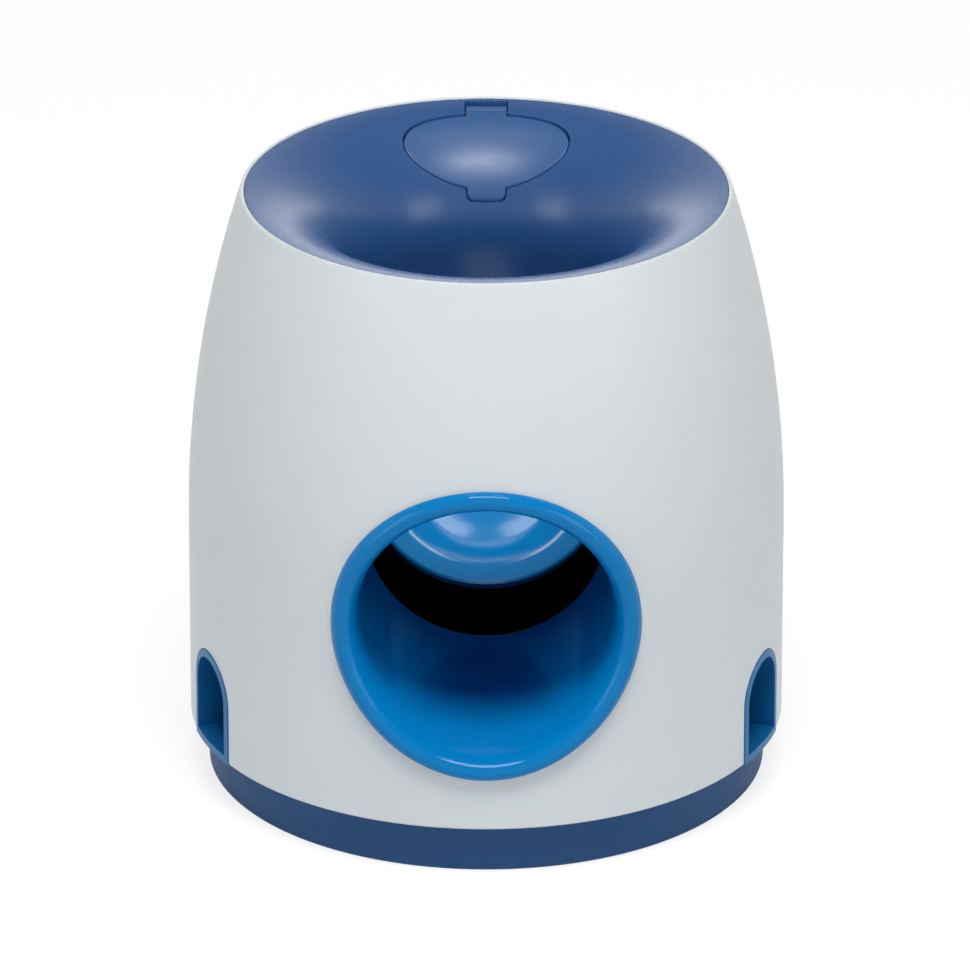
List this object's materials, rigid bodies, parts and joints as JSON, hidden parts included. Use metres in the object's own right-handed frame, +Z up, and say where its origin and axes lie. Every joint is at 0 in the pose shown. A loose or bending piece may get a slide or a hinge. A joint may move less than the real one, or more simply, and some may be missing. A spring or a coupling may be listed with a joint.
{
  "type": "dog puzzle toy",
  "caption": "Barrel-shaped dog puzzle toy: a ball dropped in the funnel tips a sprung dish that opens a hopper, then rolls out of the front tube while treats slide to outlets at the sides.",
  "frame": {"origin": "centre of the base ring's sole, on the surface the toy stands on", "axes": "+Z up along the barrel's axis, -Y out of the ball tube's port at the front, +X to the right as seen from the front"},
  "size_m": [0.173, 0.1756, 0.178],
  "materials": {
    "shell_white": "satin cool white",
    "funnel_indigo": "satin indigo blue",
    "tube_azure": "glossy azure blue",
    "dish_azure": "glossy azure blue",
    "outlet_azure": "satin azure blue",
    "base_slate": "fine matt slate blue",
    "inner_black": "plain black moulding",
    "hopper_grey": "plain grey moulding",
    "shutter_white": "plain natural moulding",
    "bush_natural": "natural acetal",
    "zinc_steel": "zinc plated",
    "spring_steel": "drawn wire"
  },
  "bodies": {
    "housing": {"outer_shell": "shell_white", "funnel": "funnel_indigo", "flap_hinge_pin": "zinc_steel", "ball_tube": "tube_azure", "left_treat_outlet": "outlet_azure", "right_treat_outlet": "outlet_azure", "base_ring": "base_slate", "base_tray": "inner_black", "base_screws": "zinc_steel", "treat_hopper": "hopper_grey", "hopper_screws": "zinc_steel", "treat_chute": "inner_black", "left_bearing_bracket": "inner_black", "right_bearing_bracket": "inner_black", "bracket_screws": "zinc_steel", "shaft_bushes": "bush_natural", "return_spring": "spring_steel"},
    "flap": {"filler_flap": "funnel_indigo"},
    "trigger": {"trigger_dish": "dish_azure", "trigger_shaft": "zinc_steel", "shaft_clips": "spring_steel", "treat_shutter": "shutter_white", "shutter_screws": "zinc_steel"}
  },
  "joints": [
    {"name": "flap_hinge", "type": "hinge", "parent": "housing", "child": "flap", "pos_m": [0, 0.0653, 0.1745], "axis": [-1, 0, 0], "range_deg": [0, 105]},
    {"name": "trigger_hinge", "type": "hinge", "parent": "housing", "child": "trigger", "pos_m": [0, 0.05018, 0.08158], "axis": [1, 0, 0], "range_deg": [0, 20], "stiffness_Nm_per_rad": 0.017, "springref_deg": -26.93, "deforming": ["return_spring"]}
  ]
}
